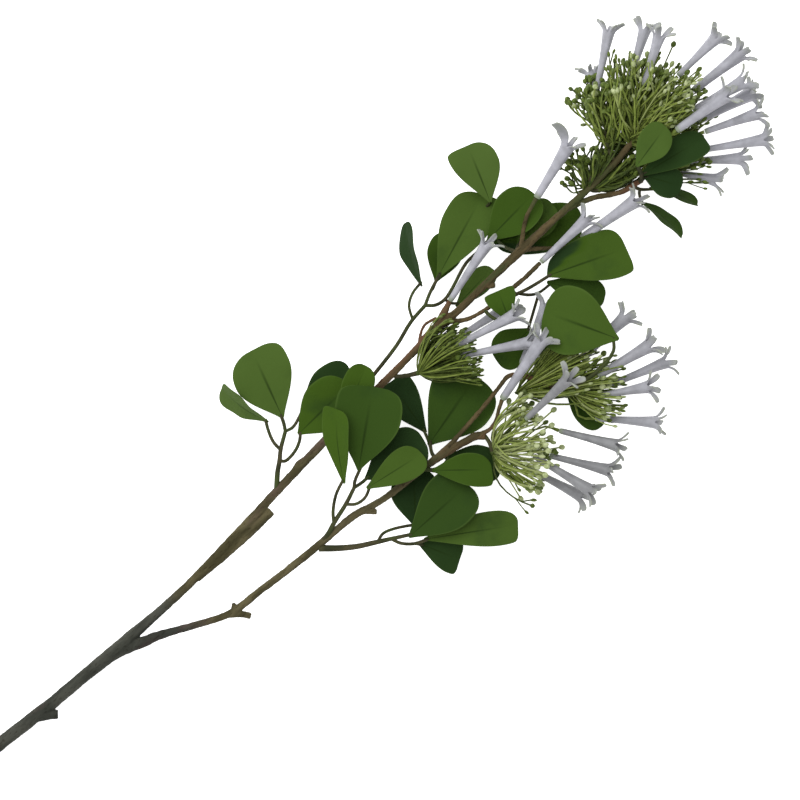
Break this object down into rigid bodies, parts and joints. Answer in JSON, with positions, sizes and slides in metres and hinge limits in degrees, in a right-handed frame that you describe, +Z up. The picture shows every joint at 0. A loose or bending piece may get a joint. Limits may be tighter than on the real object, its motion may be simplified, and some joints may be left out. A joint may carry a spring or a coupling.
{
  "type": "stephanotis sprig",
  "caption": "Long forked spray lying flat: woody stem, leafy twigs with fan-shaped leaves, umbels of budded green stalks and white five-lobed trumpet flowers.",
  "frame": {"origin": "middle of the footprint on the surface the sprig lies on", "axes": "+X from the cut end of the stem to the flower tips, +Y to the side of the first leafy twig, +Z up"},
  "size_m": [0.8011, 0.2649, 0.0862],
  "materials": {
    "bark": "matte, dark brown with grey and mauve patches",
    "leaf": "soft matte green cloth, darker underside",
    "umbel": "satin yellow-green, paler at the buds",
    "petal": "matte white with a faint lilac grey"
  },
  "bodies": {
    "root": {"flower_f10": "petal", "flower_f11": "petal", "flower_f3": "petal", "flower_f4": "petal", "flower_f5": "petal", "flower_f6": "petal", "flower_f7": "petal", "flower_f8": "petal", "flower_f9": "petal", "flower_g1": "petal", "flower_g2": "petal", "flower_g3": "petal", "flower_g4": "petal", "flower_h0": "petal", "flower_h1": "petal", "flower_h2": "petal", "flower_h3": "petal", "flower_h4": "petal", "flower_i1": "petal", "flower_i2": "petal", "flower_i3": "petal", "flower_i4": "petal", "flower_i5": "petal", "flower_j1": "petal", "flower_j2": "petal", "flower_j3": "petal", "flower_j4": "petal", "flower_j5": "petal", "flower_t1": "petal", "flower_t2": "petal", "flower_t3": "petal", "flower_t4": "petal", "leaf_spray_a": "leaf", "leaf_spray_b": "leaf", "leaf_spray_c": "leaf", "leaf_spray_d": "leaf", "leaf_spray_e": "leaf", "leaf_spray_g": "leaf", "leaf_spray_i": "leaf", "leaf_spray_k": "leaf", "leaf_spray_l": "leaf", "leaf_spray_m": "leaf", "leaf_spray_n": "leaf", "leaf_spray_o": "leaf", "leaf_spray_p": "leaf", "umbel_h": "umbel", "umbel_i1": "umbel", "umbel_i2": "umbel", "umbel_j": "umbel", "umbel_t0": "umbel", "umbel_t1": "umbel", "umbel_t2": "umbel", "umbel_t3": "umbel", "umbel_t4": "umbel", "woody_stem": "bark"}
  },
  "joints": []
}
